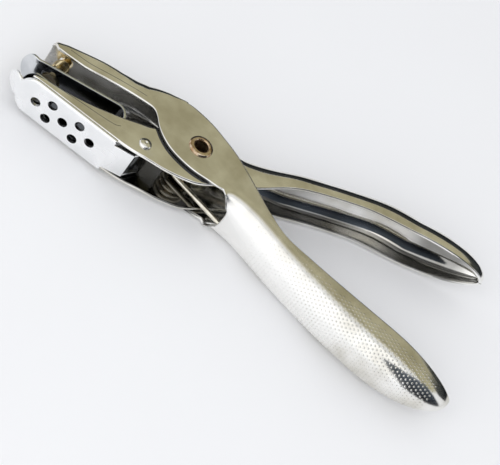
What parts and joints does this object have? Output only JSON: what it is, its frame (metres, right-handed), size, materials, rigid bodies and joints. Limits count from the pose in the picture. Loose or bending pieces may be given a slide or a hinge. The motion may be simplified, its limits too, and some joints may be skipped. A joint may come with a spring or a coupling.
{
  "type": "single hole punch",
  "caption": "Hand-held plier-type paper punch of bright plated sheet steel with crossing levers, a sliding punch pin, a folded paper throat, a return spring and a swing-down chip tray.",
  "frame": {"origin": "centre of the hollow pivot rivet, on the middle plane of the punch", "axes": "+X from the nose to the grips, +Y towards the upper jaw, +Z along the pivot axis; the punch lies on its side on a surface below -Z"},
  "size_m": [0.1334, 0.0532, 0.0154],
  "materials": {
    "plated_sheet": "bright nickel-chrome plate",
    "eyelet": "copper-toned, slightly dull",
    "spring_wire": "drawn wire",
    "strip": "bright plate",
    "hardened_steel": "ground steel",
    "pin": "bright, warm-toned steel",
    "tray": "bright satin plate",
    "hinge_pin": "bright plate"
  },
  "bodies": {
    "lower": {"lower_lever": "plated_sheet", "throat_strip": "strip", "die_bush": "hardened_steel", "tray_hinge_pin": "hinge_pin", "pivot_rivet": "eyelet", "return_spring": "spring_wire"},
    "upper": {"upper_lever": "plated_sheet"},
    "punch": {"punch_pin": "pin"},
    "tray": {"chip_tray": "tray"}
  },
  "joints": [
    {"name": "handle_hinge", "type": "hinge", "parent": "lower", "child": "upper", "pos_m": [0, 0, 0], "axis": [0, 0, 1], "range_deg": [0, 8], "stiffness_Nm_per_rad": 1, "springref_deg": -22.92, "deforming": ["return_spring"]},
    {"name": "punch_slide", "type": "slide", "parent": "lower", "child": "punch", "axis": [0, -1, 0], "range_m": [0, 0.0056]},
    {"name": "tray_hinge", "type": "hinge", "parent": "lower", "child": "tray", "pos_m": [-0.011, -0.0098, 0], "axis": [0, 0, 1], "range_deg": [0, 60]}
  ],
  "couplings": [
    {"joint": "punch_slide", "follows": "handle_hinge", "m_per_rad": 0.0395}
  ]
}
